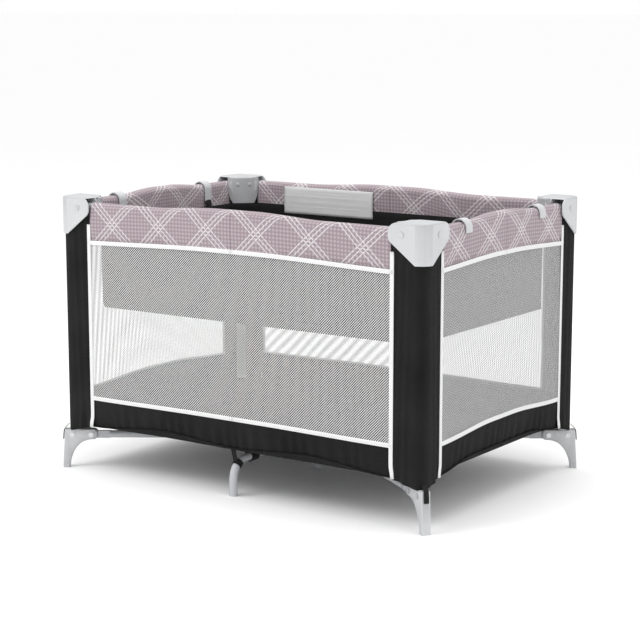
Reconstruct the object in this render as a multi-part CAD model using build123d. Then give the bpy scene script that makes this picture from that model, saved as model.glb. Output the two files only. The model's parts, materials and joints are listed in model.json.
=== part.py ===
"""Travel play yard with a hung bassinet, standing open.

Millimetres. The origin is on the ground under the centre of the base hub. +X runs along the long
side to the right, +Y runs to the rear and +Z is up.

The frame is a folding one. A central hub carries four diagonal arms, each pinned to a foot bracket
under a corner post, and two short legs under the long sides. Corner caps on the posts carry the top
rails. Each rail is two half tubes that meet in a level lock, which two pins join to them. The pivot
offsets are chosen so that every tube turns through the same angle as the diagonal arms.
"""

import os
from math import atan2, cos, degrees, hypot, sin

from build123d import *

# Overall size
LENGTH = 1030.0
WIDTH = 715.0
HEIGHT = 668.0

# Posts and tubes
POST_INSET = 24.0
POST_D = 25.0
POST_BORE = 22.2
SPIGOT_D = 22.0
RAIL_D = 22.0
RAIL_BORE = 19.6
RAIL_DROP = 25.0
ARM_D = 18.0
ARM_Z = 82.0
TONGUE = 10.0
TONGUE_LENGTH = 45.0
SLOT = 10.6

# Pivots
HUB_PIVOT = 46.0
BRACKET_PIVOT = 34.0
CAP_PIVOT_X = 38.0
CAP_PIVOT_Y = 30.0
PIN_D = 6.0
PIN_HOLE = 6.1
RIVET_HEAD_D = 12.0
RIVET_HEAD = 1.6
TUBE_OVERHANG = 10.0

# Base hub and legs
HUB_R = 60.0
HUB_LOW = 70.0
HUB_TOP = 96.0
HUB_WEB = 3.0
HUB_EDGE_R = 3.0
HUB_SLOT_START = 34.0
HUB_PIN_LENGTH = 24.0
HUB_FOOT_LOW_R = 11.0
HUB_FOOT_TOP_R = 16.0
MID_LEG_D = 19.0
MID_LEG_OFFSET = 12.0
MID_LEG_BEND = 42.0
COLLAR_D = 26.0
COLLAR_BORE = 19.8
COLLAR_LENGTH = 26.0
COLLAR_START = 248.0
STRAP = (150.0, 26.0, 2.4)
STRAP_GAP = 0.5

# Foot bracket
BRACKET_WIDTH = 22.0
BRACKET_TOP = 96.0
BRACKET_LOW = 70.0
BRACKET_INNER = 50.0
BRACKET_INNER_R = 10.0
BRACKET_OUTER = 30.0
BRACKET_EDGE_R = 3.0
FOOT_FLARE = 6.0
SOLE_LENGTH = 16.0
FOOT_CURVE = (6.0, 44.0)
FIXING_RIVET = 12.0
SPIGOT_HEIGHT = 34.0
BRACKET_WEB = 2.6
BRACKET_SLOT_END = 19.0

# Corner cap
CAP_WING = 95.0
CAP_DEPTH = 46.0
CAP_HEIGHT = 89.0
CAP_WALL = 3.0
CAP_CORNER_R = 28.0
CAP_EDGE_R = 5.0
CAP_WING_HEIGHT = 38.0
CAP_WING_TOP_R = 22.0
CAP_WING_LOW_R = 18.0
CAP_TIP = 28.0
CAP_INNER_DEPTH = 41.0
RIB_START = 44.0
RIB_FACE = 36.0
RIB_THICKNESS = 2.6
RIB_HEIGHT = 42.0
CAP_SPIGOT = 26.0
CAP_PIN_DEPTH = 40.0

# Rail lock
LOCK_CHEEK = 2.6
LOCK_GAP = 25.0
LOCK_LOW = 22.0
LOCK_HIGH = 14.0
LOCK_END = 13.0
LOCK_EDGE_R = 5.0
BUTTON_DROP = 5.0
BUTTON_EDGE_R = 3.0
BUTTON_SIZE = (24.0, 14.0)
BUTTON_FLANGE = 3.0
BUTTON_FLANGE_THICKNESS = 1.4
BUTTON_GAP = 0.3

# Cloth
CLOTH = 3.0
WALL_DEPTH = 4.0
WALL_LOW = 105.0
WALL_TOP = 628.0
WALL_SEAM = 0.5
FLOOR_LOW = 99.5
FLOOR_EDGE = 8.5
FLOOR_NOTCH = 62.0

# Bassinet
TRAY = (932.0, 630.0)
TRAY_LOW = 402.0
TRAY_TOP = 598.0
TRAY_WALL = 2.5
TRAY_CHAMFER = 56.0
MATTRESS = (908.0, 600.0)
MATTRESS_THICKNESS = 25.0
MATTRESS_CHAMFER = 34.0
MATTRESS_GAP = 0.5
BAR_D = 12.0
BAR_LENGTH = 800.0
BAR_Y = 200.0
BAR_GAP = 1.0
CLIP_Y = 170.0
CLIP_WIDTH = 26.0
CLIP_INNER_R = 17.5
CLIP_THICKNESS = 2.5
CLIP_OUTER_LEG = 11.0
CLIP_INNER_LEG = 30.0

# Derived
POST_X = LENGTH / 2 - POST_INSET
POST_Y = WIDTH / 2 - POST_INSET
DIAGONAL = hypot(POST_X, POST_Y)
DIAGONAL_ANGLE = atan2(POST_Y, POST_X)
PIVOT_SUM = HUB_PIVOT + BRACKET_PIVOT
LOCK_PIVOT_X = PIVOT_SUM * cos(DIAGONAL_ANGLE) - CAP_PIVOT_X
LOCK_PIVOT_Y = PIVOT_SUM * sin(DIAGONAL_ANGLE) - CAP_PIVOT_Y
RAIL_Z = HEIGHT - RAIL_DROP
CORNERS = {
    "front_left": (-1, -1),
    "front_right": (1, -1),
    "rear_left": (-1, 1),
    "rear_right": (1, 1),
}


def box(low, high):
    """A box between two opposite corners."""
    size = [b - a for a, b in zip(low, high)]
    return Pos(*low) * Box(*size, align=(Align.MIN, Align.MIN, Align.MIN))


def rod(radius, start, direction, length):
    """A round bar from start along direction."""
    return Plane(origin=start, z_dir=direction) * Cylinder(
        radius, length, align=(Align.CENTER, Align.CENTER, Align.MIN)
    )


def into_quadrant(shape, sign_x, sign_y):
    """Mirror a shape made in the +X +Y quadrant into another one."""
    if sign_x < 0:
        shape = mirror(shape, about=Plane.YZ)
    if sign_y < 0:
        shape = mirror(shape, about=Plane.XZ)
    return shape


def along_diagonal(shape):
    """Turn a shape made along +X onto the diagonal of the +X +Y quadrant."""
    return Rot(0, 0, degrees(DIAGONAL_ANGLE)) * shape


def chamfered_plate(size, chamfer_length, low, high):
    """A flat rectangular plate with cut corners, centred on the origin."""
    sketch = chamfer(Rectangle(*size).vertices(), chamfer_length)
    return Pos(0, 0, low) * extrude(sketch, high - low)


def tongue(pivot):
    """A flat tongue round a pivot on the X axis, upright, as long as it is on either side."""
    plate = SlotCenterToCenter(TONGUE_LENGTH, ARM_D)
    upright = Plane.XZ * extrude(Pos(TONGUE_LENGTH / 2, 0) * plate, TONGUE / 2, both=True)
    return Pos(pivot, 0, ARM_Z) * upright


def cross_pin(position, height, length, diameter=PIN_D):
    """A pin across the XZ plane at a place on the X axis."""
    return rod(diameter / 2, (position, -length / 2, height), (0, 1, 0), length)


def rivet(position, height, length):
    """A pin across the XZ plane with a round head on each end."""
    heads = [
        rod(RIVET_HEAD_D / 2, (position, side * length / 2, height), (0, side, 0), RIVET_HEAD)
        for side in (-1, 1)
    ]
    return cross_pin(position, height, length) + heads


def base_hub():
    """The centre casting with its foot and a slot for each arm."""
    body = Pos(0, 0, HUB_LOW) * Cylinder(
        HUB_R, HUB_TOP - HUB_LOW, align=(Align.CENTER, Align.CENTER, Align.MIN)
    )
    body = fillet(body.edges(), HUB_EDGE_R)
    body += Cone(HUB_FOOT_LOW_R, HUB_FOOT_TOP_R, HUB_LOW, align=(Align.CENTER, Align.CENTER, Align.MIN))
    slot = box((HUB_SLOT_START, -SLOT / 2, HUB_LOW - 1), (HUB_R + 1, SLOT / 2, HUB_TOP - HUB_WEB))
    for sign_x, sign_y in CORNERS.values():
        body -= into_quadrant(along_diagonal(slot), sign_x, sign_y)
    for side in (-1, 1):
        body -= Pos(side * MID_LEG_OFFSET, 0, 0) * Rot(0, 0, 90 * side) * slot
    return body - hub_pins()


def hub_pins():
    """The six pins that hold the arms and the middle legs in the hub."""
    pin = cross_pin(HUB_PIVOT, ARM_Z, HUB_PIN_LENGTH)
    pins = [into_quadrant(along_diagonal(pin), *signs) for signs in CORNERS.values()]
    pins += [Pos(side * MID_LEG_OFFSET, 0, 0) * Rot(0, 0, 90 * side) * pin for side in (-1, 1)]
    return pins


def pull_strap():
    """The flat webbing loop on the hub that lifts it."""
    length, width, thickness = STRAP
    sketch = SlotOverall(length, width)
    return Pos(0, 0, HUB_TOP + STRAP_GAP) * extrude(sketch, thickness)


def arm():
    """A diagonal arm from the hub to a foot bracket, along +X."""
    start = HUB_PIVOT
    end = DIAGONAL - BRACKET_PIVOT
    tube_start = start + TONGUE_LENGTH
    tube_end = end - TONGUE_LENGTH
    body = rod(ARM_D / 2, (tube_start, 0, ARM_Z), (1, 0, 0), tube_end - tube_start)
    body += tongue(start)
    body += tongue(end - TONGUE_LENGTH)
    for pivot in (start, end):
        body -= cross_pin(pivot, ARM_Z, HUB_PIN_LENGTH, PIN_HOLE)
    return body


def mid_leg():
    """A leg under a long side, along +X from the hub, bent down to the ground."""
    start = HUB_PIVOT + TONGUE_LENGTH
    path = FilletPolyline(
        (start, 0, ARM_Z), (POST_Y, 0, ARM_Z), (POST_Y, 0, 0), radius=MID_LEG_BEND
    )
    body = sweep(Plane(origin=(start, 0, ARM_Z), z_dir=(1, 0, 0)) * Circle(MID_LEG_D / 2), path=path)
    body += tongue(HUB_PIVOT)
    return body - cross_pin(HUB_PIVOT, ARM_Z, HUB_PIN_LENGTH, PIN_HOLE)


def mid_collar():
    """The strap round a middle leg, along +X from the hub."""
    outer = rod(COLLAR_D / 2, (COLLAR_START, 0, ARM_Z), (1, 0, 0), COLLAR_LENGTH)
    return outer - rod(COLLAR_BORE / 2, (COLLAR_START, 0, ARM_Z), (1, 0, 0), COLLAR_LENGTH)


def post():
    """A corner post tube in the +X +Y quadrant."""
    low = BRACKET_TOP
    high = HEIGHT - CAP_WALL
    outer = rod(POST_D / 2, (POST_X, POST_Y, low), (0, 0, 1), high - low)
    return outer - rod(POST_BORE / 2, (POST_X, POST_Y, low), (0, 0, 1), high - low)


def foot_bracket():
    """A foot bracket along +X, with the post's axis at the diagonal distance and the leg flared out."""
    inner = -BRACKET_INNER
    sole_outer = BRACKET_OUTER + FOOT_FLARE
    sole_inner = sole_outer - SOLE_LENGTH
    outline = Polyline(
        (sole_inner, 0),
        (sole_outer, 0),
        (BRACKET_OUTER, BRACKET_TOP),
        (inner, BRACKET_TOP),
        (inner, BRACKET_LOW),
        (inner + BRACKET_INNER_R, BRACKET_LOW),
    )
    hollow = Spline(
        (inner + BRACKET_INNER_R, BRACKET_LOW),
        FOOT_CURVE,
        (sole_inner, 0),
        tangents=[(1, 0), (FOOT_FLARE, -BRACKET_TOP)],
    )
    face = make_face(outline + hollow)
    ends = face.vertices().group_by(Axis.X)[0]
    side = fillet(ends, BRACKET_INNER_R)
    body = Plane.XZ * extrude(side, BRACKET_WIDTH / 2, both=True)
    body = fillet(body.faces().filter_by(Axis.Y).edges(), BRACKET_EDGE_R)
    body -= box(
        (inner - 1, -SLOT / 2, BRACKET_LOW + BRACKET_WEB), (-BRACKET_SLOT_END, SLOT / 2, BRACKET_TOP + 1)
    )
    body += rod(SPIGOT_D / 2, (0, 0, BRACKET_TOP - 1), (0, 0, 1), SPIGOT_HEIGHT)
    body = Pos(DIAGONAL, 0, 0) * body
    return body - foot_rivets()


def foot_rivets():
    """The arm's pivot rivet and the post's fixing rivet, along +X."""
    places = ((DIAGONAL - BRACKET_PIVOT, ARM_Z), (DIAGONAL + FIXING_RIVET, ARM_Z))
    return [rivet(place, height, BRACKET_WIDTH) for place, height in places]


def cap_outline(inset, depth, reach):
    """The plan of a corner cap, inwards from the outer corner, with its corner rounded."""
    outline = Polyline(
        (inset, inset), (reach, inset), (reach, depth), (depth, reach), (inset, reach), close=True
    )
    face = make_face(outline)
    corner = face.vertices().sort_by_distance((0, 0, 0))[0]
    return fillet(corner, CAP_CORNER_R - inset)


def cap_side(axis):
    """The side view of a cap: a wing with a rounded end, and a lower edge that falls to the tip."""
    low = HEIGHT - CAP_HEIGHT
    outline = Polyline(
        (-1, low),
        (CAP_TIP, low),
        (CAP_WING, HEIGHT - CAP_WING_HEIGHT),
        (CAP_WING, HEIGHT),
        (-1, HEIGHT),
        close=True,
    )
    face = make_face(outline)
    wing_low, wing_top = face.vertices().group_by(Axis.X)[-1].sort_by(Axis.Y)
    face = fillet(wing_top, CAP_WING_TOP_R)
    wing_low = face.vertices().sort_by_distance((CAP_WING, HEIGHT - CAP_WING_HEIGHT, 0))[0]
    face = fillet(wing_low, CAP_WING_LOW_R)
    solid = Pos(0, CAP_WING + 1, 0) * (Plane.XZ * extrude(face, CAP_WING + 2))
    return solid if axis == "x" else mirror(Rot(0, 0, 90) * solid, about=Plane.YZ)


def cap():
    """A corner cap, inwards from the outer corner."""
    low = HEIGHT - CAP_HEIGHT
    body = Pos(0, 0, low) * extrude(cap_outline(0, CAP_DEPTH, CAP_WING), CAP_HEIGHT)
    body = fillet(body.edges().group_by(Axis.Z)[-1], CAP_EDGE_R)
    hollow = cap_outline(CAP_WALL, CAP_INNER_DEPTH, CAP_WING + 1)
    body -= Pos(0, 0, low - 1) * extrude(hollow, CAP_HEIGHT - CAP_WALL + 1)
    rib_low = HEIGHT - RIB_HEIGHT
    rib_high = HEIGHT - CAP_WALL
    body += box((RIB_START, RIB_FACE, rib_low), (CAP_WING - 2, RIB_FACE + RIB_THICKNESS, rib_high))
    body += box((RIB_FACE, RIB_START, rib_low), (RIB_FACE + RIB_THICKNESS, CAP_WING - 2, rib_high))
    body += rod(SPIGOT_D / 2, (POST_INSET, POST_INSET, HEIGHT - CAP_SPIGOT), (0, 0, 1), CAP_SPIGOT - 1)
    body &= cap_side("x")
    body &= cap_side("y")
    return body - cap_pins()


def cap_pins():
    """The rail pivots of a cap, inwards from the outer corner."""
    place_x = POST_INSET + CAP_PIVOT_X
    place_y = POST_INSET + CAP_PIVOT_Y
    pin_x = rod(PIN_D / 2, (place_x, 0, RAIL_Z), (0, 1, 0), CAP_PIN_DEPTH)
    pin_x += rod(RIVET_HEAD_D / 2, (place_x, 0, RAIL_Z), (0, -1, 0), RIVET_HEAD)
    pin_y = rod(PIN_D / 2, (0, place_y, RAIL_Z), (1, 0, 0), CAP_PIN_DEPTH)
    pin_y += rod(RIVET_HEAD_D / 2, (0, place_y, RAIL_Z), (-1, 0, 0), RIVET_HEAD)
    return [pin_x, pin_y]


def wall():
    """The sewn corner panel: half of a long side and half of a short one, round the corner."""
    inner = WALL_DEPTH + CLOTH
    reach_x = LENGTH / 2 - WALL_SEAM
    reach_y = WIDTH / 2 - WALL_SEAM
    outer_face = Pos(WALL_DEPTH, WALL_DEPTH) * Rectangle(
        reach_x - WALL_DEPTH, reach_y - WALL_DEPTH, align=(Align.MIN, Align.MIN)
    )
    inner_face = Pos(inner, inner) * Rectangle(LENGTH, WIDTH, align=(Align.MIN, Align.MIN))
    outer_face = fillet(outer_face.vertices().sort_by_distance((0, 0, 0))[0], CAP_CORNER_R - WALL_DEPTH)
    inner_face = fillet(inner_face.vertices().sort_by_distance((0, 0, 0))[0], CAP_CORNER_R - inner)
    return Pos(0, 0, WALL_LOW) * extrude(outer_face - inner_face, WALL_TOP - WALL_LOW)


def half_rail(cap_pivot, lock_pivot):
    """Half of a top rail along +X, at Y = 0."""
    start = lock_pivot - TUBE_OVERHANG
    length = cap_pivot + TUBE_OVERHANG - start
    body = rod(RAIL_D / 2, (start, 0, RAIL_Z), (1, 0, 0), length)
    body -= rod(RAIL_BORE / 2, (start, 0, RAIL_Z), (1, 0, 0), length)
    for pivot in (lock_pivot, cap_pivot):
        body -= cross_pin(pivot, RAIL_Z, 2 * RAIL_D, PIN_HOLE)
    return body


def lock_housing(pivot):
    """The level channel that joins two half rails along X, at Y = 0."""
    half_length = pivot + LOCK_END
    half_width = LOCK_GAP / 2 + LOCK_CHEEK
    low = RAIL_Z - LOCK_LOW
    body = box((-half_length, -half_width, low), (half_length, half_width, RAIL_Z + LOCK_HIGH))
    body = fillet(body.edges().filter_by(Axis.Y), LOCK_EDGE_R)
    body -= box(
        (-half_length - 1, -LOCK_GAP / 2, low + LOCK_CHEEK),
        (half_length + 1, LOCK_GAP / 2, RAIL_Z + LOCK_HIGH + 1),
    )
    hole_x = BUTTON_SIZE[0] / 2 + BUTTON_GAP
    hole_y = BUTTON_SIZE[1] / 2 + BUTTON_GAP
    body -= box((-hole_x, -hole_y, low - 1), (hole_x, hole_y, low + LOCK_CHEEK + 1))
    return body - lock_rivets(pivot)


def lock_rivets(pivot):
    """The two pins of a lock, across the rails."""
    length = LOCK_GAP + 2 * LOCK_CHEEK
    return [rivet(side * pivot, RAIL_Z, length) for side in (-1, 1)]


def lock_button():
    """The push button under a lock, with a flange that keeps it in."""
    half_x = BUTTON_SIZE[0] / 2
    half_y = BUTTON_SIZE[1] / 2
    web_top = RAIL_Z - LOCK_LOW + LOCK_CHEEK
    body = box((-half_x, -half_y, RAIL_Z - LOCK_LOW - BUTTON_DROP), (half_x, half_y, web_top + 1))
    body = fillet(body.edges().group_by(Axis.Z)[0], BUTTON_EDGE_R)
    flange_low = web_top + BUTTON_GAP / 3
    return body + box(
        (-half_x - BUTTON_FLANGE, -half_y - BUTTON_FLANGE, flange_low),
        (half_x + BUTTON_FLANGE, half_y + BUTTON_FLANGE, flange_low + BUTTON_FLANGE_THICKNESS),
    )


def floor_panel():
    """The cloth floor over the arms, with a notch for each post."""
    size_x = LENGTH - 2 * FLOOR_EDGE
    size_y = WIDTH - 2 * FLOOR_EDGE
    return chamfered_plate((size_x, size_y), FLOOR_NOTCH, FLOOR_LOW, FLOOR_LOW + CLOTH)


def bassinet_tray():
    """The hung cloth tray with its corners cut to pass the caps."""
    body = chamfered_plate(TRAY, TRAY_CHAMFER, TRAY_LOW, TRAY_TOP)
    inside = tuple(size - 2 * TRAY_WALL for size in TRAY)
    return body - chamfered_plate(inside, TRAY_CHAMFER, TRAY_LOW + TRAY_WALL, TRAY_TOP + 1)


def mattress():
    """The folding pad in the bassinet."""
    low = TRAY_LOW + TRAY_WALL + MATTRESS_GAP
    return chamfered_plate(MATTRESS, MATTRESS_CHAMFER, low, low + MATTRESS_THICKNESS)


def bassinet_bars():
    """The two tubes under the bassinet."""
    height = TRAY_LOW - BAR_GAP - BAR_D / 2
    return [
        rod(BAR_D / 2, (-BAR_LENGTH / 2, side * BAR_Y, height), (1, 0, 0), BAR_LENGTH)
        for side in (-1, 1)
    ]


def bassinet_clips():
    """The four hooks that hang the bassinet on the short rails."""
    outer_r = CLIP_INNER_R + CLIP_THICKNESS
    ring = Circle(outer_r) - Circle(CLIP_INNER_R)
    arch = ring & (Pos(0, outer_r) * Rectangle(2 * outer_r, 2 * outer_r))
    outer_leg = Pos(CLIP_INNER_R, -CLIP_OUTER_LEG) * Rectangle(
        CLIP_THICKNESS, CLIP_OUTER_LEG, align=(Align.MIN, Align.MIN)
    )
    inner_leg = Pos(-outer_r, -CLIP_INNER_LEG) * Rectangle(
        CLIP_THICKNESS, CLIP_INNER_LEG, align=(Align.MIN, Align.MIN)
    )
    profile = arch + outer_leg + inner_leg
    hook = Pos(POST_X, CLIP_Y, RAIL_Z) * (Plane.XZ * extrude(profile, CLIP_WIDTH / 2, both=True))
    return [into_quadrant(hook, *signs) for signs in CORNERS.values()]


def write(name, shape):
    """Write one node, whose solids stay separate."""
    solids = shape if isinstance(shape, list) else [shape]
    solids = [solid for item in solids for solid in item.solids()]
    export_step(Compound(solids) if len(solids) > 1 else solids[0], f"parts/{name}.step")


def corner_parts():
    """Every node that repeats at the four corners."""
    corner_frame = Pos(LENGTH / 2, WIDTH / 2, 0) * Rot(0, 0, 180)
    parts = {
        "arm": along_diagonal(arm()),
        "post": post(),
        "foot": along_diagonal(foot_bracket()),
        "foot_rivets": [along_diagonal(item) for item in foot_rivets()],
    }
    inward = {"cap": cap(), "cap_pins": cap_pins(), "wall": wall()}
    for name, shape in inward.items():
        items = shape if isinstance(shape, list) else [shape]
        parts[name] = [corner_frame * item for item in items]
    long_rail = half_rail(POST_X - CAP_PIVOT_X, LOCK_PIVOT_X)
    short_rail = half_rail(POST_Y - CAP_PIVOT_Y, LOCK_PIVOT_Y)
    parts["long_rail"] = Pos(0, POST_Y, 0) * long_rail
    parts["short_rail"] = Pos(POST_X, 0, 0) * Rot(0, 0, 90) * short_rail
    return parts


def side_parts(pivot):
    """The lock of one rail, along X at Y = 0."""
    return {
        "lock": lock_housing(pivot),
        "lock_rivets": lock_rivets(pivot),
        "lock_button": lock_button(),
    }


def main():
    """Build every node and write it."""
    os.makedirs("parts", exist_ok=True)
    for name, shape in corner_parts().items():
        items = shape if isinstance(shape, list) else [shape]
        for corner, signs in CORNERS.items():
            write(f"{name}_{corner}", [into_quadrant(item, *signs) for item in items])
    sides = {
        "front": (Pos(0, -POST_Y, 0), LOCK_PIVOT_X),
        "rear": (Pos(0, POST_Y, 0), LOCK_PIVOT_X),
        "left": (Pos(-POST_X, 0, 0) * Rot(0, 0, 90), LOCK_PIVOT_Y),
        "right": (Pos(POST_X, 0, 0) * Rot(0, 0, 90), LOCK_PIVOT_Y),
    }
    for side, (place, pivot) in sides.items():
        for name, shape in side_parts(pivot).items():
            items = shape if isinstance(shape, list) else [shape]
            write(f"{name}_{side}", [place * item for item in items])
    for side, sign in (("front", -1), ("rear", 1)):
        place = Pos(sign * MID_LEG_OFFSET, 0, 0) * Rot(0, 0, 90 * sign)
        write(f"mid_leg_{side}", place * mid_leg())
        write(f"mid_collar_{side}", place * mid_collar())
    write("base_hub", base_hub())
    write("hub_pins", hub_pins())
    write("pull_strap", pull_strap())
    write("floor_panel", floor_panel())
    write("bassinet_tray", bassinet_tray())
    write("mattress", mattress())
    write("bassinet_bars", bassinet_bars())
    write("bassinet_clips", bassinet_clips())


main()
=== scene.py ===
"""The look of the travel play yard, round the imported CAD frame. Metres, +Z up, front towards -Y."""

import json
from math import cos, hypot, pi, radians, sin

import bmesh
import bpy
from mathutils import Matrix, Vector


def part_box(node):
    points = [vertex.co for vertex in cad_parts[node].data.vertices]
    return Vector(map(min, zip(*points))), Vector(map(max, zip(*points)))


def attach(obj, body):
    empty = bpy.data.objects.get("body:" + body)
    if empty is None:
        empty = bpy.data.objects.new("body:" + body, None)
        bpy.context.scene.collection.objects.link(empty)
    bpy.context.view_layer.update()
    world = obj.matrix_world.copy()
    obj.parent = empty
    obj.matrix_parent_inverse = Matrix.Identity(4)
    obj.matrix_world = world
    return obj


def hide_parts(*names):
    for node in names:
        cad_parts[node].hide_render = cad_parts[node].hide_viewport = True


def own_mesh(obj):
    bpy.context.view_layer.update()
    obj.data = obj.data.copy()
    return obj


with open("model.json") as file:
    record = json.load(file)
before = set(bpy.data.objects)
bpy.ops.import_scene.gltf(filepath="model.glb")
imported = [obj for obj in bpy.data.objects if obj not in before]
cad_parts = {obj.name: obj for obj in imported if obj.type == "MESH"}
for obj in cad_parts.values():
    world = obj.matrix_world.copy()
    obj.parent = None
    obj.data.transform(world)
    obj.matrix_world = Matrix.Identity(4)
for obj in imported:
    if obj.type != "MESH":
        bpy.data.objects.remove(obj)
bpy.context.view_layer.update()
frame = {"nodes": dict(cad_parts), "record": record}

# Driving sizes, from the frame
CORNERS = {
    "front_left": (-1, -1),
    "front_right": (1, -1),
    "rear_left": (-1, 1),
    "rear_right": (1, 1),
}
HALF_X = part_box("cap_rear_right")[1][0]
HALF_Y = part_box("cap_rear_right")[1][1]
HALF = {"x": HALF_X, "y": HALF_Y}
CAP_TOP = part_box("cap_rear_right")[1][2]
RAIL_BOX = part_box("long_rail_rear_right")
RAIL_Z = (RAIL_BOX[0][2] + RAIL_BOX[1][2]) / 2
RAIL_DEPTH = HALF_Y - (RAIL_BOX[0][1] + RAIL_BOX[1][1]) / 2
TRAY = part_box("bassinet_tray")
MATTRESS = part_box("mattress")

# Heights of the hems above the ground
SLEEVE_TIP = 0.092
SLEEVE_TOP = CAP_TOP - 0.020
SKIRT_LOW = 0.110
SKIRT_ARCH = 0.018
SKIRT_TOP = 0.183
BAND_LOW = 0.562
BAND_ARCH = 0.011

# The sleeve's depth inside the outer plane, and how far the net runs up behind the band
WALL_INSET = 0.0045
NET_LAP = 0.002

# Widths, by side: x is the long side and y the short one
SLEEVE_WIDTH = {"x": 0.087, "y": 0.078}
BAND_START = {"x": 0.093, "y": 0.084}

# The padded band's section, and how it swells over the lock in the middle of a side
BAND_RADIUS = 0.0148
BAND_CROWN = 0.0125
BAND_PUFF = 0.0035
BAND_LIFT = 0.0085

# Cloth thicknesses and tape widths
CLOTH = 0.0012
LINING_CLOTH = 0.0015
BAND_CLOTH = 0.0022
PATCH_CLOTH = 0.0008
COVER_SHELL = 0.0025
TAPE = 0.0102
TAPE_THICK = 0.0026
TIE_WIDTH = 0.012
WRAP_WIDTH = 0.015
WRAP_THICK = 0.0020
WRAP_GAP = 0.0012
HANGER_WIDTH = 0.014
HANGER_THICK = 0.0016
STRAP_WIDTH = 0.022
STRAP_LENGTH = 0.050
STRAP_THICK = 0.0018


# ---------------------------------------------------------------- materials


class Nodes:
    """A small helper to build one material's node tree."""

    def __init__(self, name):
        self.mat = bpy.data.materials.new(name)
        self.mat.use_nodes = True
        self.tree = self.mat.node_tree
        self.bsdf = self.tree.nodes["Principled BSDF"]
        self.out = self.tree.nodes["Material Output"]

    def add(self, kind, **values):
        node = self.tree.nodes.new(kind)
        for key, value in values.items():
            setattr(node, key, value)
        return node

    def put(self, socket, value):
        if isinstance(value, bpy.types.NodeSocket):
            self.tree.links.new(value, socket)
        else:
            socket.default_value = value

    def math(self, operation, a, b=0.0, clamp=False):
        node = self.add("ShaderNodeMath", operation=operation, use_clamp=clamp)
        self.put(node.inputs[0], a)
        self.put(node.inputs[1], b)
        return node.outputs[0]

    def mix(self, factor, a, b):
        node = self.add("ShaderNodeMix", data_type="RGBA")
        self.put(node.inputs[0], factor)
        self.put(node.inputs[6], a)
        self.put(node.inputs[7], b)
        return node.outputs[2]

    def step(self, value, low, high):
        node = self.add("ShaderNodeMapRange", clamp=True)
        self.put(node.inputs[0], value)
        node.inputs[1].default_value = low
        node.inputs[2].default_value = high
        return node.outputs[0]

    def noise(self, vector, scale, detail=3.0, rough=0.5):
        node = self.add("ShaderNodeTexNoise")
        self.put(node.inputs["Vector"], vector)
        node.inputs["Scale"].default_value = scale
        node.inputs["Detail"].default_value = detail
        node.inputs["Roughness"].default_value = rough
        return node.outputs[0]

    def coords(self, kind="Object"):
        node = self.add("ShaderNodeTexCoord")
        return node.outputs[kind]

    def split(self, vector):
        node = self.add("ShaderNodeSeparateXYZ")
        self.put(node.inputs[0], vector)
        return node.outputs[0], node.outputs[1], node.outputs[2]

    def wave(self, value, pitch):
        """A sine of value with the given pitch, from -1 to 1."""
        return self.math("SINE", self.math("MULTIPLY", value, 2 * pi / pitch))

    def bump(self, height, distance, strength=1.0):
        node = self.add("ShaderNodeBump")
        node.inputs["Strength"].default_value = strength
        node.inputs["Distance"].default_value = distance
        self.put(node.inputs["Height"], height)
        self.tree.links.new(node.outputs[0], self.bsdf.inputs["Normal"])

    def finish(self, rough=0.6, metal=0.0, sheen=0.0, coat=0.0, specular=0.5):
        bsdf = self.bsdf.inputs
        if rough is not None:
            bsdf["Roughness"].default_value = rough
        bsdf["Metallic"].default_value = metal
        bsdf["Sheen Weight"].default_value = sheen
        bsdf["Coat Weight"].default_value = coat
        bsdf["Specular IOR Level"].default_value = specular
        return self.mat


def rgba(r, g, b):
    return (r, g, b, 1.0)


def woven(name, dark, light, pitch=0.0009, sheen=0.03, rough=0.88, fold=0.0):
    """Plain woven cloth: a fine over-and-under weave, with broad tone variation."""
    n = Nodes(name)
    place = n.coords()
    x, y, z = n.split(place)
    along = n.math("ADD", x, y)
    weave = n.math("MULTIPLY", n.wave(along, pitch), n.wave(z, pitch))
    flat = n.math("MULTIPLY", n.wave(x, pitch), n.wave(y, pitch))
    both = n.math("ADD", weave, flat)
    broad = n.noise(place, 9.0, 4.0)
    tone = n.step(n.math("ADD", n.math("MULTIPLY", both, 0.12), broad), 0.25, 0.8)
    n.put(n.bsdf.inputs["Base Color"], n.mix(tone, dark, light))
    n.put(n.bsdf.inputs["Roughness"], n.math("ADD", n.math("MULTIPLY", broad, 0.15), rough - 0.08))
    height = n.math("ADD", n.math("MULTIPLY", both, 0.35), n.math("MULTIPLY", broad, fold))
    n.bump(height, 0.0006)
    return n.finish(rough=None, sheen=sheen, specular=0.12)


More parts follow.
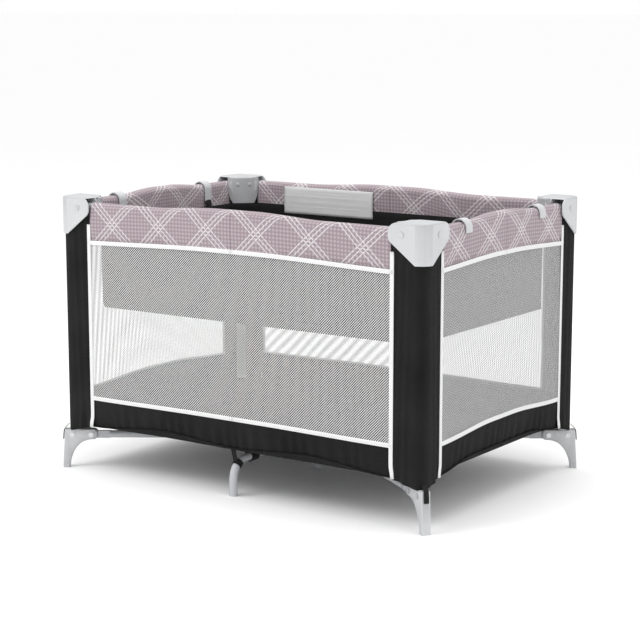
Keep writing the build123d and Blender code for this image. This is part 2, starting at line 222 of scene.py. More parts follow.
def plaid():
    """Mauve cloth printed with a small tone-on-tone check and bundles of crossing white lines."""
    n = Nodes("plaid_fabric")
    along, across, _ = n.split(n.coords("UV"))
    lean = 0.92
    slope = n.math("MULTIPLY", along, lean)
    first = n.math("ADD", across, slope)
    second = n.math("SUBTRACT", across, slope)
    check_pitch = 0.0175
    check = n.math("MULTIPLY", n.wave(first, check_pitch), n.wave(second, check_pitch))
    small = n.step(check, -0.05, 0.35)
    base = n.mix(small, rgba(0.34, 0.265, 0.295), rgba(0.50, 0.43, 0.46))
    repeat = 0.1297
    bundle = (0.0300, 0.0427, 0.0554)
    lines = None
    for value in (first, second):
        wrapped = n.math("WRAP", value, 0.0)
        wrapped.node.inputs[1].default_value = repeat
        wrapped.node.inputs[2].default_value = 0.0
        for offset in bundle:
            gap = n.math("ABSOLUTE", n.math("SUBTRACT", wrapped, offset))
            stripe = n.math("SUBTRACT", 1.0, n.step(gap, 0.0010, 0.0021))
            lines = stripe if lines is None else n.math("MAXIMUM", lines, stripe)
    dash = n.step(n.wave(across, 0.0075), -0.75, 0.1)
    faded = n.math("MULTIPLY", lines, n.math("ADD", 0.55, n.math("MULTIPLY", dash, 0.40)))
    n.put(n.bsdf.inputs["Base Color"], n.mix(faded, base, rgba(0.84, 0.82, 0.83)))
    weave = n.math("MULTIPLY", n.wave(along, 0.0011), n.wave(across, 0.0011))
    broad = n.noise(n.coords(), 14.0)
    n.bump(n.math("ADD", n.math("MULTIPLY", weave, 0.4), n.math("MULTIPLY", broad, 1.6)), 0.0006)
    return n.finish(rough=0.82, sheen=0.2, specular=0.25)


def net():
    """White open net: a staggered lattice of holes, clear in between."""
    n = Nodes("mesh_fabric")
    x, y, z = n.split(n.coords())
    along = n.math("ADD", x, y)
    pitch = 0.0060
    rising = n.math("MULTIPLY", n.wave(n.math("SUBTRACT", along, z), pitch), 1.2)
    falling = n.math("MULTIPLY", n.wave(n.math("ADD", along, z), pitch), 0.8)
    holes = n.math("ADD", rising, falling)
    solid = n.math("SUBTRACT", 1.0, n.step(holes, -0.35, 0.05))
    n.bsdf.inputs["Base Color"].default_value = rgba(0.80, 0.80, 0.80)
    n.bump(holes, 0.0005)
    clear = n.add("ShaderNodeBsdfTransparent")
    blend = n.add("ShaderNodeMixShader")
    n.put(blend.inputs[0], solid)
    n.tree.links.new(clear.outputs[0], blend.inputs[1])
    n.tree.links.new(n.bsdf.outputs[0], blend.inputs[2])
    n.tree.links.new(blend.outputs[0], n.out.inputs["Surface"])
    return n.finish(rough=0.7, specular=0.3)


def tape_cloth():
    """Ribbed white binding tape with a row of stitches near each edge."""
    n = Nodes("binding")
    along, across, _ = n.split(n.coords("UV"))
    rib = n.wave(along, 0.0016)
    edge = n.math("ABSOLUTE", n.math("SUBTRACT", across, 0.5))
    away = n.math("ABSOLUTE", n.math("SUBTRACT", edge, 0.10))
    seam = n.math("SUBTRACT", 1.0, n.step(away, 0.008, 0.02))
    stitch = n.math("MULTIPLY", seam, n.step(n.wave(along, 0.0045), -0.3, 0.2))
    n.put(n.bsdf.inputs["Base Color"], n.mix(stitch, rgba(0.83, 0.83, 0.83), rgba(0.62, 0.62, 0.63)))
    n.bump(n.math("SUBTRACT", n.math("MULTIPLY", rib, 0.3), stitch), 0.0006)
    return n.finish(rough=0.75, sheen=0.1, specular=0.3)


def moulded(name, dark, light, rough=0.42, grain=0.00025):
    """Moulded plastic: a fine spark-eroded grain, soft colour variation and a painted highlight on its
    sharp edges.
    """
    n = Nodes(name)
    place = n.coords()
    fine = n.noise(place, 900.0, 2.0)
    broad = n.noise(place, 22.0, 4.0)
    edge = n.add("ShaderNodeNewGeometry").outputs["Pointiness"]
    # Paler along sharp convex edges: a painted highlight.
    edge_highlight = n.step(edge, 0.52, 0.60)
    colour = n.mix(n.step(broad, 0.3, 0.75), dark, light)
    n.put(n.bsdf.inputs["Base Color"], n.mix(n.math("MULTIPLY", edge_highlight, 0.35), colour, rgba(0.72, 0.73, 0.74)))
    n.put(n.bsdf.inputs["Roughness"], n.math("ADD", rough - 0.05, n.math("MULTIPLY", fine, 0.12)))
    n.bump(n.math("ADD", fine, n.math("MULTIPLY", broad, 0.4)), grain)
    return n.finish(rough=None, specular=0.45)


def coated_steel():
    """Powder-coated tube: light grey, a fine orange peel, with small chips worn to the metal."""
    n = Nodes("tube_steel")
    place = n.coords()
    peel = n.noise(place, 420.0, 2.0)
    broad = n.noise(place, 18.0, 4.0)
    chip = n.step(n.noise(place, 75.0, 6.0, 0.7), 0.69, 0.73)
    colour = n.mix(broad, rgba(0.42, 0.43, 0.45), rgba(0.50, 0.51, 0.53))
    n.put(n.bsdf.inputs["Base Color"], n.mix(chip, colour, rgba(0.34, 0.34, 0.35)))
    n.put(n.bsdf.inputs["Roughness"], n.math("ADD", 0.30, n.math("MULTIPLY", broad, 0.15)))
    n.bump(peel, 0.0002)
    return n.finish(rough=None, coat=0.2)


def brushed():
    """Zinc-plated rivet steel with turning marks."""
    n = Nodes("rivet_steel")
    place = n.coords()
    marks = n.noise(place, 700.0, 2.0)
    n.put(n.bsdf.inputs["Base Color"], n.mix(marks, rgba(0.50, 0.50, 0.52), rgba(0.72, 0.72, 0.74)))
    n.put(n.bsdf.inputs["Roughness"], n.math("ADD", 0.22, n.math("MULTIPLY", marks, 0.2)))
    n.bump(marks, 0.0001)
    return n.finish(rough=None, metal=1.0)


def webbing():
    """Black ribbed webbing."""
    n = Nodes("webbing")
    x, y, z = n.split(n.coords())
    along = n.math("ADD", n.math("ADD", x, y), z)
    rib = n.wave(along, 0.0022)
    broad = n.noise(n.coords(), 30.0)
    colour = n.mix(n.step(rib, -1, 1), rgba(0.010, 0.010, 0.010), rgba(0.035, 0.035, 0.035))
    n.put(n.bsdf.inputs["Base Color"], colour)
    n.bump(n.math("ADD", rib, broad), 0.0005)
    return n.finish(rough=0.88, sheen=0.02, specular=0.12)


def quilted():
    """Charcoal mattress cloth with a sewn diamond quilt."""
    n = Nodes("mattress_fabric")
    place = n.coords()
    x, y, z = n.split(place)
    pitch = 0.090
    one = n.math("ABSOLUTE", n.wave(n.math("ADD", x, y), 2 * pitch))
    two = n.math("ABSOLUTE", n.wave(n.math("SUBTRACT", x, y), 2 * pitch))
    puff = n.math("POWER", n.math("MINIMUM", one, two), 0.5)
    weave = n.math("MULTIPLY", n.wave(x, 0.0012), n.wave(y, 0.0012))
    seam = n.step(puff, 0.12, 0.3)
    n.put(n.bsdf.inputs["Base Color"], n.mix(seam, rgba(0.045, 0.045, 0.05), rgba(0.11, 0.11, 0.12)))
    n.bump(n.math("ADD", n.math("MULTIPLY", puff, 8.0), n.math("MULTIPLY", weave, 0.4)), 0.0009)
    return n.finish(rough=0.9, sheen=0.2, specular=0.2)


BLACK = woven("black_fabric", rgba(0.008, 0.008, 0.008), rgba(0.020, 0.020, 0.020), fold=1.2)
LINING = woven("lining_fabric", rgba(0.006, 0.006, 0.006), rgba(0.016, 0.016, 0.016), fold=1.5)
PLAID = plaid()
NET = net()
TAPE_CLOTH = tape_cloth()
GREY = moulded("grey_plastic", rgba(0.39, 0.395, 0.405), rgba(0.46, 0.465, 0.475))
BLACK_PLASTIC = moulded("black_plastic", rgba(0.018, 0.018, 0.018), rgba(0.03, 0.03, 0.03), 0.5)
RED_PLASTIC = moulded("button_plastic", rgba(0.42, 0.03, 0.03), rgba(0.55, 0.05, 0.05), 0.4)
STEEL = coated_steel()
RIVET = brushed()
WEBBING = webbing()
QUILT = quilted()
PATCH = woven("patch_fabric", rgba(0.82, 0.82, 0.82), rgba(0.88, 0.88, 0.88), pitch=0.0007, fold=0.3)


# ---------------------------------------------------------------- mesh helpers


def link(name, mesh, material, body):
    """Put a mesh in the scene as a piece of the object."""
    piece = bpy.data.objects.new(name, mesh)
    bpy.context.scene.collection.objects.link(piece)
    mesh.materials.clear()
    mesh.materials.append(material)
    for face in mesh.polygons:
        face.use_smooth = True
    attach(piece, body)
    return piece


def grid(name, columns, rows, point, uv=None, flip=False):
    """A sheet of columns by rows cells, whose corners are point(a, b) with a and b from 0 to 1."""
    bm = bmesh.new()
    layer = bm.loops.layers.uv.new("UVMap")
    verts = [
        [bm.verts.new(point(i / columns, j / rows)) for j in range(rows + 1)]
        for i in range(columns + 1)
    ]
    place = uv or (lambda a, b: (a, b))
    for i in range(columns):
        for j in range(rows):
            cells = [(i, j), (i + 1, j), (i + 1, j + 1), (i, j + 1)]
            if flip:
                cells.reverse()
            face = bm.faces.new([verts[a][b] for a, b in cells])
            for loop, (a, b) in zip(face.loops, cells):
                loop[layer].uv = place(a / columns, b / rows)
    mesh = bpy.data.meshes.new(name)
    bm.to_mesh(mesh)
    bm.free()
    return mesh


def thicken(piece, thickness, offset=-1.0):
    """Give a sheet its thickness."""
    solid = piece.modifiers.new("thickness", "SOLIDIFY")
    solid.thickness = thickness
    solid.offset = offset
    return piece


def ribbon(name, points, normals, width, thickness, closed=False):
    """A flat tape with soft edges along a line of points, lying across the given normals."""
    sides = 12
    bm = bmesh.new()
    layer = bm.loops.layers.uv.new("UVMap")
    rings = []
    lengths = [0.0]
    for a, b in zip(points, points[1:]):
        lengths.append(lengths[-1] + (b - a).length)
    for index, (point, normal) in enumerate(zip(points, normals)):
        before = points[max(index - 1, 0)]
        after = points[min(index + 1, len(points) - 1)]
        tangent = (after - before).normalized()
        across = tangent.cross(normal).normalized()
        ring = []
        for side in range(sides):
            angle = 2 * pi * side / sides
            c, s = cos(angle), sin(angle)
            out = abs(c) ** 0.4 * (1 if c >= 0 else -1) * width / 2
            up = abs(s) ** 0.8 * (1 if s >= 0 else -1) * thickness / 2
            ring.append(bm.verts.new(point + across * out + normal * up))
        rings.append(ring)
    for i in range(len(rings) - 1):
        for k in range(sides):
            m = (k + 1) % sides
            face = bm.faces.new([rings[i][k], rings[i][m], rings[i + 1][m], rings[i + 1][k]])
            for loop, (at, s) in zip(face.loops, ((i, k), (i, k + 1), (i + 1, k + 1), (i + 1, k))):
                across_at = 0.5 + 0.5 * cos(2 * pi * s / sides)
                loop[layer].uv = (lengths[at], across_at)
    for ring in (rings[0], list(reversed(rings[-1]))):
        bm.faces.new(list(reversed(ring)))
    bmesh.ops.recalc_face_normals(bm, faces=bm.faces)
    mesh = bpy.data.meshes.new(name)
    bm.to_mesh(mesh)
    bm.free()
    return mesh


def smooth(value):
    """An easy rise from 0 to 1."""
    value = min(max(value, 0.0), 1.0)
    return value * value * (3 - 2 * value)


def at(corner, axis, along, depth, height):
    """A point on the wall by a corner: along it from the corner, inwards by depth, and up."""
    sx, sy = CORNERS[corner]
    if axis == "x":
        return Vector((sx * (HALF_X - along), sy * (HALF_Y - depth), height))
    return Vector((sx * (HALF_X - depth), sy * (HALF_Y - along), height))


def outward(corner, axis):
    """The way a side faces."""
    sx, sy = CORNERS[corner]
    return Vector((0, sy, 0)) if axis == "x" else Vector((sx, 0, 0))


def turned(corner, axis):
    """True where a sheet's columns and rows have to be flipped to face outwards."""
    sx, sy = CORNERS[corner]
    return (sx * sy > 0) != (axis == "x")


def band_low(axis, along):
    """The height of the lower edge of the top band."""
    share = along / HALF[axis]
    return BAND_LOW + BAND_ARCH * smooth(share * 1.1)


def skirt_low(axis, along):
    """The height of the lower edge of the skirt: arched up between the corner and the middle."""
    share = (along - SLEEVE_WIDTH[axis]) / (HALF[axis] - SLEEVE_WIDTH[axis])
    drop = 0.0 if axis == "y" else 0.013 * smooth((share - 0.5) / 0.5)
    return SKIRT_LOW + SKIRT_ARCH * smooth(share * 1.8) - drop


def skirt_top(axis, along):
    """The height where the skirt ends and the net begins."""
    share = (along - SLEEVE_WIDTH[axis]) / (HALF[axis] - SLEEVE_WIDTH[axis])
    rise = 0.012 if axis == "y" else 0.003
    return SKIRT_TOP + rise * smooth(share * 1.2)


def wall_depth(along):
    """How far the stretched wall lies inside the outer plane."""
    return WALL_INSET + 0.005 * smooth((along - 0.03) / 0.06)


# ---------------------------------------------------------------- cloth pieces


def sleeve(corner):
    """The black panel round a corner post, from under the cap to a point where it is tied down."""
    radius = 0.024
    centre = WALL_INSET + radius
    arc = radius * pi / 2
    first = SLEEVE_WIDTH["x"] - centre
    second = SLEEVE_WIDTH["y"] - centre
    total = first + arc + second
    sx, sy = CORNERS[corner]

    def point(a, b):
        s = a * total
        middle = first + arc / 2
        edge = abs(s - middle) / (middle if s < middle else total - middle)
        low = SLEEVE_TIP + (SKIRT_LOW - SLEEVE_TIP) * edge
        height = low + b * (SLEEVE_TOP - low)
        if first <= s <= first + arc:
            turn = (s - first) / radius
            x = centre - radius * sin(turn)
            y = centre - radius * cos(turn)
            return Vector((sx * (HALF_X - x), sy * (HALF_Y - y), height))
        axis = "x" if s < first else "y"
        along = SLEEVE_WIDTH["x"] - s if s < first else centre + s - first - arc
        off = smooth((along - centre) / 0.02)
        crease = 0.0008 * sin(along * 300 + b * 5) * off
        pinch = 0.002 * smooth((0.12 - b) / 0.12) * sin(along * 210) * off
        return at(corner, axis, along, wall_depth(along) + crease + pinch, height)

    mesh = grid(f"sleeve_{corner}", 44, 60, point, flip=sx * sy > 0)
    piece = link(f"sleeve_{corner}", mesh, BLACK, f"corner_{corner}")
    thicken(piece, CLOTH)
    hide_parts(f"wall_{corner}")


def foot_tie(corner):
    """The strap that ties the sleeve's point down over the foot."""
    low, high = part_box(f"post_{corner}")
    axis_point = Vector(((low[0] + high[0]) / 2, (low[1] + high[1]) / 2, 0))
    out = axis_point.normalized()
    # From inside the sleeve's point, round the foot's shoulder and down its face: outwards, up
    route = (
        (0.0200, 0.1080),
        (0.0260, 0.1020),
        (0.0300, 0.0985),
        (0.0325, 0.0940),
        (0.0335, 0.0860),
        (0.0345, 0.0700),
    )
    points = [axis_point + out * away + Vector((0, 0, height)) for away, height in route]
    mesh = ribbon(f"tie_{corner}", points, [out] * len(points), TIE_WIDTH, STRAP_THICK)
    piece = link(f"tie_{corner}", mesh, WEBBING, f"corner_{corner}")


def half_wall(corner, axis):
    """Half of one side between the sleeve and the middle: net, skirt and binding."""
    end = HALF[axis]
    start = SLEEVE_WIDTH[axis]
    span = end - start
    body = f"corner_{corner}"
    flip = turned(corner, axis)
    tag = f"{'long' if axis == 'x' else 'short'}_{corner}"

    def along(a):
        return start + a * span

    def net_point(a, b):
        low = skirt_top(axis, along(a))
        high = band_low(axis, along(a)) + NET_LAP
        ripple = 0.0006 * sin(along(a) * 40 + b * 4)
        return at(corner, axis, along(a), wall_depth(along(a)) + ripple, low + b * (high - low))

    def skirt_point(a, b):
        low = skirt_low(axis, along(a))
        high = skirt_top(axis, along(a))
        slack = smooth(a * 3) * smooth((1 - b) * 1.2 + 0.1)
        gather = 0.0016 * sin(along(a) * 190 + 1.5 * sin(along(a) * 37)) * slack
        tuck = 0.006 * (1 - b) ** 2
        return at(corner, axis, along(a), wall_depth(along(a)) + gather + tuck, low + b * (high - low))

    pieces = []
    mesh = grid(f"net_{tag}", 24, 24, net_point, flip=flip)
    piece = link(f"net_{tag}", mesh, NET, body)
    pieces.append(piece)

    mesh = grid(f"skirt_{tag}", 120, 12, skirt_point, flip=flip)
    piece = thicken(link(f"skirt_{tag}", mesh, BLACK, body), CLOTH)
    pieces.append(piece)

    normal = outward(corner, axis)
    lift = -0.0016
    steps = 40

    def tape(kind, route):
        points = [at(corner, axis, s, wall_depth(s) + lift + inset, h) for s, h, inset in route]
        body_mesh = ribbon(f"{kind}_{tag}", points, [normal] * len(points), TAPE, TAPE_THICK)
        tape_piece = link(f"{kind}_{tag}", body_mesh, TAPE_CLOTH, body)
        pieces.append(tape_piece)

    low = skirt_low(axis, start)
    reach = CAP_TOP - 0.064 - low

    def side_route(share):
        bend = 0.005 * smooth((0.03 - share * reach) / 0.03)
        return start + 0.002 - bend, low + share * reach, 0.0

    shares = [i / steps for i in range(steps + 1)]
    tape("side_tape", [side_route(share) for share in shares])
    tape("top_tape", [(along(a), band_low(axis, along(a)) - 0.002, -0.0012) for a in shares])
    tape("low_tape", [(along(a), skirt_top(axis, along(a)), 0.0) for a in shares])
    for piece in pieces:
        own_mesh(piece)


def half_band(corner, axis):
    """Half of a padded plaid band, folded over its rail."""
    end = HALF[axis]
    start = BAND_START[axis]
    span = end - start
    rail = "long_rail" if axis == "x" else "short_rail"
    tag = f"{'long' if axis == 'x' else 'short'}_{corner}"

    def section(along, b):
        """Depth, height and the way along the section, from the outer hem over the rail to the inner."""
        low = band_low(axis, along)
        share = (along - start) / span
        middle = BAND_LIFT * smooth((share - 0.42) / 0.46)
        radius = BAND_RADIUS + middle * 0.42
        top = RAIL_Z + middle
        drop = top - low
        arc = pi * radius
        total = 2 * drop + arc
        s = b * total
        if s < drop:
            h = low + s
            swell = BAND_PUFF * sin(pi * min(s / drop, 1.0))
            return RAIL_DEPTH - radius - swell * 0.4 + 0.0015 * (1 - s / drop), h, s
        if s > drop + arc:
            down = s - drop - arc
            h = top - down
            swell = BAND_PUFF * sin(pi * down / drop)
            return RAIL_DEPTH + radius + swell * 0.6 - 0.006 * (down / drop), h, s
        turn = (s - drop) / radius
        return RAIL_DEPTH - radius * cos(turn), top + BAND_CROWN * sin(turn), s

    def point(a, b):
        along = start + a * span
        depth, height, _ = section(along, b)
        hang = max(RAIL_Z - height, 0) / 0.08
        wave = 0.0006 * sin(along * 55 + 2 * b) * min(hang, 1) * (1 - min(hang, 1)) * 4
        return at(corner, axis, along, depth + wave, height)

    sx, sy = CORNERS[corner]
    sign = sx if axis == "x" else sy

    def uv(a, b):
        along = start + a * span
        _, _, s = section(along, b)
        return (sign * (HALF[axis] - along) - 0.070, s)

    mesh = grid(f"band_{tag}", 80, 64, point, uv=uv, flip=turned(corner, axis))
    piece = thicken(link(f"band_{tag}", mesh, PLAID, f"{rail}_{corner}"), BAND_CLOTH)
    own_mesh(piece)


def floor_quarter(corner):
    """A quarter of the black floor, which hangs from its arm when the frame folds."""
    sx, sy = CORNERS[corner]
    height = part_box("floor_panel")[1][2]
    edge = 0.011
    reach_x = HALF_X - edge
    reach_y = HALF_Y - edge
    notch = 0.055
    hem_gap = 0.002

    def point(a, b):
        x = a * reach_x
        y = b * reach_y
        over = max(x + y - (reach_x + reach_y - notch), 0) / 2
        x -= over
        y -= over
        long_hem = (skirt_low("x", HALF_X - x) + hem_gap - height) * smooth((b - 0.88) / 0.1)
        short_hem = (skirt_low("y", HALF_Y - y) + hem_gap - height) * smooth((a - 0.92) / 0.07)
        return Vector((sx * x, sy * y, height + max(long_hem, short_hem, 0.0)))

    mesh = grid(f"floor_{corner}", 40, 30, point, flip=sx * sy < 0)
    piece = thicken(link(f"floor_{corner}", mesh, BLACK, f"arm_{corner}"), LINING_CLOTH)
    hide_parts("floor_panel")
    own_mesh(piece)


def cut_corner(x, y, reach):
    """Draw a point of a rectangle in to the line that cuts its corner off, where x plus y is reach."""
    over = max(abs(x) + abs(y) - reach, 0) / 2
    return x - over * (1 if x > 0 else -1), y - over * (1 if y > 0 else -1)


def tray():
    """The hung bassinet: four cloth walls with cut corners and a floor."""
    low_z = TRAY[0][2]
    high_x, high_y, high_z = TRAY[1]
    cut = 0.056
    short_x = high_x - cut
    short_y = high_y - cut
    right = [(high_x, -short_y), (high_x, short_y), (short_x, high_y)]
    left = [(-short_x, high_y), (-high_x, short_y), (-high_x, -short_y)]
    loop = right + left + [(-short_x, -high_y), (short_x, -high_y)] + right[:1]
    lengths = [hypot(b[0] - a[0], b[1] - a[1]) for a, b in zip(loop, loop[1:])]
    total = sum(lengths)

    def plan(share):
        s = share * total
        for (a, b), length in zip(zip(loop, loop[1:]), lengths):
            if s <= length + 1e-9:
                f = s / length
                return a[0] + f * (b[0] - a[0]), a[1] + f * (b[1] - a[1]), f, length
            s -= length
        return (*loop[0], 0.0, lengths[0])

    def point(a, b):
        x, y, f, length = plan(a)
        slack = 0.004 * sin(pi * b) * sin(pi * f) * min(length / 0.5, 1)
        crease = 0.0012 * sin(a * total * 55) * sin(pi * b)
        r = hypot(x, y)
        inset = (slack + crease) / r
        return Vector((x * (1 - inset), y * (1 - inset), low_z + b * (high_z - low_z)))

    mesh = grid("tray_wall", 320, 16, point)
    bm = bmesh.new()
    bm.from_mesh(mesh)
    bmesh.ops.remove_doubles(bm, verts=bm.verts, dist=1e-6)
    bm.to_mesh(mesh)
    bm.free()
    piece = thicken(link("tray_wall", mesh, LINING, "bassinet"), LINING_CLOTH)
    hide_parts("bassinet_tray")
    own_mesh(piece)

    def floor_point(a, b):
        x = (2 * a - 1) * high_x
        y = (2 * b - 1) * high_y
        x, y = cut_corner(x, y, high_x + high_y - cut)
        return Vector((x, y, low_z + 0.0022))

    mesh = grid("tray_floor", 80, 56, floor_point)
    piece = thicken(link("tray_floor", mesh, LINING, "bassinet"), LINING_CLOTH)


def pad_mesh(name, columns, rows, place):
    """A closed pad with a top and an underside, whose points are place(a, b, sign)."""
    bm = bmesh.new()
    layers = [
        [
            [bm.verts.new(place(i / columns, j / rows, sign)) for j in range(rows + 1)]
            for i in range(columns + 1)
        ]
        for sign in (1, -1)
    ]
    for sign, layer in zip((1, -1), layers):
        for i in range(columns):
            for j in range(rows):
                quad = [layer[i][j], layer[i + 1][j], layer[i + 1][j + 1], layer[i][j + 1]]
                bm.faces.new(quad if sign > 0 else list(reversed(quad)))
    rim = (
        [(i, 0) for i in range(columns)]
        + [(columns, j) for j in range(rows)]
        + [(i, rows) for i in range(columns, 0, -1)]
        + [(0, j) for j in range(rows, 0, -1)]
    )
    upper, under = layers
    for (i, j), (k, m) in zip(rim, rim[1:] + rim[:1]):
        bm.faces.new([under[i][j], under[k][m], upper[k][m], upper[i][j]])
    bmesh.ops.recalc_face_normals(bm, faces=bm.faces)
    mesh = bpy.data.meshes.new(name)
    bm.to_mesh(mesh)
    bm.free()
    return mesh


def mattress():
    """The folding pad: four padded panels with sewn folds between them."""
    low, high = MATTRESS
    panels = 4
    fold = 0.003
    cut = 0.034
    swell = 0.004
    length = (high[0] - low[0]) / panels
    middle = (low[2] + high[2]) / 2
    half = (high[2] - low[2]) / 2 - swell
    for index in range(panels):
        start = low[0] + index * length + fold / 2

        def place(a, b, sign):
            x = start + (length - fold) * a
            y = low[1] + (high[1] - low[1]) * b
            x, y = cut_corner(x, y, high[0] + high[1] - cut)
            return Vector((x, y, middle + sign * half))

        mesh = pad_mesh(f"pad_{index}", 24, 60, place)
        piece = bpy.data.objects.new(f"pad_{index}", mesh)
        bpy.context.scene.collection.objects.link(piece)
        simulate(piece, swell)
        piece.data.materials.clear()
        piece.data.materials.append(QUILT)
        for face in piece.data.polygons:
            face.use_smooth = True
        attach(piece, "bassinet")
        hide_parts("mattress")


def simulate(piece, cap):
    """Blow a pad up as cloth, then keep each point within cap of where it began."""
    frames = 20
    sideways = 0.35
    bpy.context.view_layer.objects.active = piece
    remesh = piece.modifiers.new("remesh", "REMESH")
    remesh.mode = "VOXEL"
    remesh.voxel_size = 0.006
    bpy.ops.object.modifier_apply(modifier=remesh.name)
    rest = [v.co.copy() for v in piece.data.vertices]
    cloth = piece.modifiers.new("cloth", "CLOTH")
    cloth.settings.use_pressure = True
    cloth.settings.uniform_pressure_force = 4.0
    cloth.settings.effector_weights.gravity = 0.0
    cloth.settings.quality = 4
    cloth.point_cache.frame_start = 1
    cloth.point_cache.frame_end = frames
    for number in range(1, frames + 1):
        bpy.context.scene.frame_set(number)
    bpy.ops.object.modifier_apply(modifier=cloth.name)
    for vertex, start in zip(piece.data.vertices, rest):
        shift = vertex.co - start
        shift = Vector((shift.x * sideways, shift.y * sideways, shift.z))
        vertex.co = start + shift
        if shift.length > cap:
            vertex.co = start + shift * (cap / shift.length)
    bpy.context.scene.frame_set(1)


def cap_covers():
    """The shield on the inner side of each cap, with two rivet heads."""
    half_width = 0.040
    straight = 0.020
    shield = 0.062
    depth = 0.1035
    heads = ((-0.016, 0.018), (0.016, 0.018))
    head_radius = 0.0045
    head_height = 0.0016
    for corner, (sx, sy) in CORNERS.items():

        def point(a, b):
            share = 2 * a - 1
            across = share * half_width
            drop = straight + shield * max(1 - abs(share) ** 2.4, 0) ** 0.5
            down = (1 - b) * drop
            away = depth - 0.0115 * share * share - 0.002 * (down / (straight + shield)) ** 2
            for head_x, head_z in heads:
                reach = hypot(across - head_x, down - head_z) / head_radius
                away += head_height * max(1 - reach * reach, 0) ** 0.5
            from_x = (away + across) / 2**0.5
            from_y = (away - across) / 2**0.5
            return Vector((sx * (HALF_X - from_x), sy * (HALF_Y - from_y), CAP_TOP - 0.003 - down))

        mesh = grid(f"cover_{corner}", 64, 56, point, flip=sx * sy < 0)
        thicken(link(f"cover_{corner}", mesh, GREY, f"corner_{corner}"), COVER_SHELL)


def leg_wraps():
    """The black strap round the bend of each middle leg, and its hanger up to the skirt's hem."""
    bend = 0.042
    turn = radians(38)
    steps = 32
    hanger_steps = 8
    flat = Vector((1, 0, 0))
    for side, sy in (("front", -1), ("rear", 1)):
        leg_body = f"mid_leg_{side}"
        low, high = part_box(leg_body)
        x = (low[0] + high[0]) / 2
        radius = (high[0] - low[0]) / 2
        far = max(abs(low[1]), abs(high[1])) - radius
        y = sy * (far - bend + bend * sin(turn))
        z = high[2] - radius - bend + bend * cos(turn)
        centre = Vector((x, y, z))
        out = Vector((0, sy * sin(turn), cos(turn)))

        angles = [2 * pi * i / steps for i in range(steps + 1)]
        ring = [out * cos(angle) + flat * sin(angle) for angle in angles]
        points = [centre + normal * (radius + WRAP_GAP) for normal in ring]
        mesh = ribbon(f"wrap_{side}", points, ring, WRAP_WIDTH, WRAP_THICK)
        piece = link(f"wrap_{side}", mesh, WEBBING, leg_body)

        start = centre + out * (radius + WRAP_THICK)
        tip = Vector((x, sy * (HALF_Y - 0.021), SKIRT_LOW + 0.008))
        line = [start.lerp(tip, i / hanger_steps) for i in range(hanger_steps + 1)]
        mesh = ribbon(f"hanger_{side}", line, [out] * len(line), HANGER_WIDTH, HANGER_THICK)
        piece = link(f"hanger_{side}", mesh, WEBBING, leg_body)


def clip_straps():
    """The black strap under each clip, down to the tray."""
    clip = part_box("bassinet_clips")
    inner_x = HALF_X - RAIL_DEPTH - 0.0187
    top = clip[0][2] + 0.006
    steps = 12
    for corner, (sx, sy) in CORNERS.items():
        y = sy * (clip[1][1] - 0.013)

        def place(step):
            return Vector((sx * (inner_x - 0.003 * smooth(step / 4)), y, top - STRAP_LENGTH * step / steps))

        points = [place(step) for step in range(steps + 1)]
        across = [Vector((sx, 0, 0))] * len(points)
        mesh = ribbon(f"strap_{corner}", points, across, STRAP_WIDTH, STRAP_THICK)
        piece = link(f"strap_{corner}", mesh, WEBBING, "bassinet")


def patch():
    """A plain white cloth patch inside the rear band."""
    width, height = 0.277, 0.070
    left = -0.327
    top = RAIL_Z + 0.004
    depth = RAIL_DEPTH + 0.0215

    def point(a, b):
        y = HALF_Y - depth - 0.0014 * sin(pi * b)
        return Vector((left + a * width, y, top - (1 - b) * height))

    mesh = grid("patch", 30, 10, point)
    piece = thicken(link("patch", mesh, PATCH, "long_rail_rear_left"), PATCH_CLOTH, 1.0)
    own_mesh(piece)


def hub_plastic():
    """The hub's black plastic, with its pale pressed-on foot below."""
    n = Nodes("hub_plastic")
    place = n.coords()
    _, _, z = n.split(place)
    fine = n.noise(place, 900.0, 2.0)
    foot_top = 0.058
    low = n.step(z, foot_top, foot_top + 0.001)
    n.put(n.bsdf.inputs["Base Color"], n.mix(low, rgba(0.46, 0.47, 0.49), rgba(0.022, 0.022, 0.022)))
    n.put(n.bsdf.inputs["Roughness"], n.math("ADD", 0.42, n.math("MULTIPLY", fine, 0.12)))
    n.bump(fine, 0.0002)
    return n.finish(rough=None)


def dress_frame():
    """The CAD nodes that stay get their finishes."""
    finish = {
        "grey_plastic": GREY,
        "black_plastic": BLACK_PLASTIC,
        "button_plastic": RED_PLASTIC,
        "rivet_steel": RIVET,
        "tube_steel": STEEL,
        "webbing": WEBBING,
        "mattress_fabric": QUILT,
        "black_fabric": BLACK,
    }
    hub = hub_plastic()
    slots = {part["node"]: part["material_slot"] for part in frame["record"]["subparts"]}
    for name, node in frame["nodes"].items():
        node.data.materials.clear()
        node.data.materials.append(hub if name == "base_hub" else finish[slots[name]])
        bevel = node.modifiers.new("soft_edges", "BEVEL")
        bevel.width = 0.0006
        bevel.segments = 2
        bevel.limit_method = "ANGLE"
        bevel.angle_limit = radians(35)
        bevel.harden_normals = True


# ---------------------------------------------------------------- studio


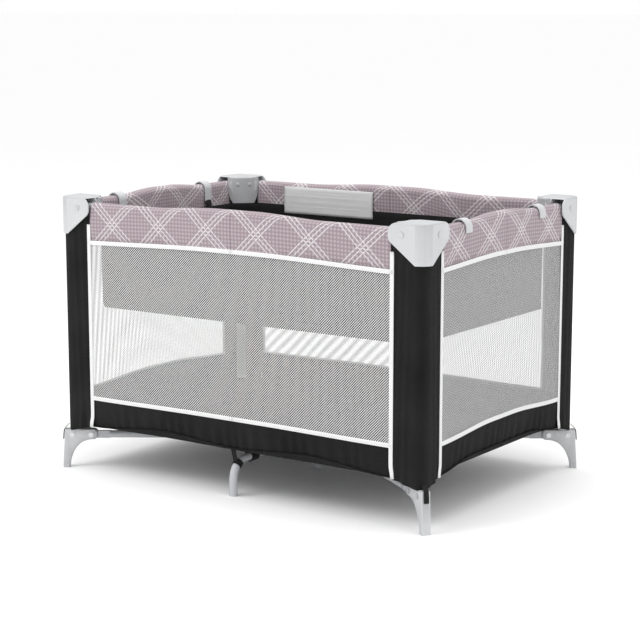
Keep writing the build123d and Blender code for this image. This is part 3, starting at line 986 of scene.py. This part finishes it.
def area_light(name, place, target, size, power):
    """A soft rectangular lamp at a place, turned to a target."""
    data = bpy.data.lights.new(name, "AREA")
    data.shape = "RECTANGLE"
    data.size = size[0]
    data.size_y = size[1]
    data.energy = power
    lamp = bpy.data.objects.new(name, data)
    lamp.location = place
    lamp.rotation_euler = (Vector(target) - Vector(place)).to_track_quat("-Z", "Y").to_euler()
    bpy.context.scene.collection.objects.link(lamp)


def studio():
    """A plain white floor, soft light from above and a camera at the product view."""
    floor_size = 400
    mesh = grid("studio_floor", 8, 8, lambda a, b: Vector((a - 0.5, b - 0.5, 0)) * floor_size)
    ground = bpy.data.objects.new("studio_floor", mesh)
    bpy.context.scene.collection.objects.link(ground)
    n = Nodes("studio_white")
    tone = n.noise(n.coords(), 0.4)
    n.put(n.bsdf.inputs["Base Color"], n.mix(tone, rgba(0.97, 0.97, 0.97), rgba(0.98, 0.98, 0.98)))
    mesh.materials.append(n.finish(rough=0.9, specular=0.1))

    world = bpy.data.worlds.new("studio_world")
    bpy.context.scene.world = world
    world.use_nodes = True
    world.node_tree.nodes["Background"].inputs[0].default_value = rgba(1, 1, 1)
    world.node_tree.nodes["Background"].inputs[1].default_value = 1.0

    area_light("key", (-1.6, -2.6, 3.4), (0, 0, 0.3), (2.0, 2.0), 55)
    area_light("top", (0.3, 0.4, 4.0), (0, 0, 0), (3.2, 3.2), 60)
    area_light("fill", (3.4, -1.0, 1.8), (0, 0, 0.4), (2.0, 2.0), 8)

    data = bpy.data.cameras.new("camera")
    data.lens = 101.4
    data.sensor_width = 36.0
    camera = bpy.data.objects.new("camera", data)
    camera.location = (2.441, -3.544, 1.116)
    yaw = radians(-34.55)
    pitch = radians(9.89)
    ahead = Vector((sin(yaw) * cos(pitch), cos(yaw) * cos(pitch), -sin(pitch)))
    camera.rotation_euler = ahead.to_track_quat("-Z", "Y").to_euler()
    bpy.context.scene.collection.objects.link(camera)
    bpy.context.scene.camera = camera
    bpy.context.scene.view_settings.view_transform = "Standard"


studio()
dress_frame()
for corner_name in CORNERS:
    sleeve(corner_name)
    foot_tie(corner_name)
    for axis_name in ("x", "y"):
        half_wall(corner_name, axis_name)
        half_band(corner_name, axis_name)
    floor_quarter(corner_name)
tray()
mattress()
clip_straps()
patch()
cap_covers()
leg_wraps()
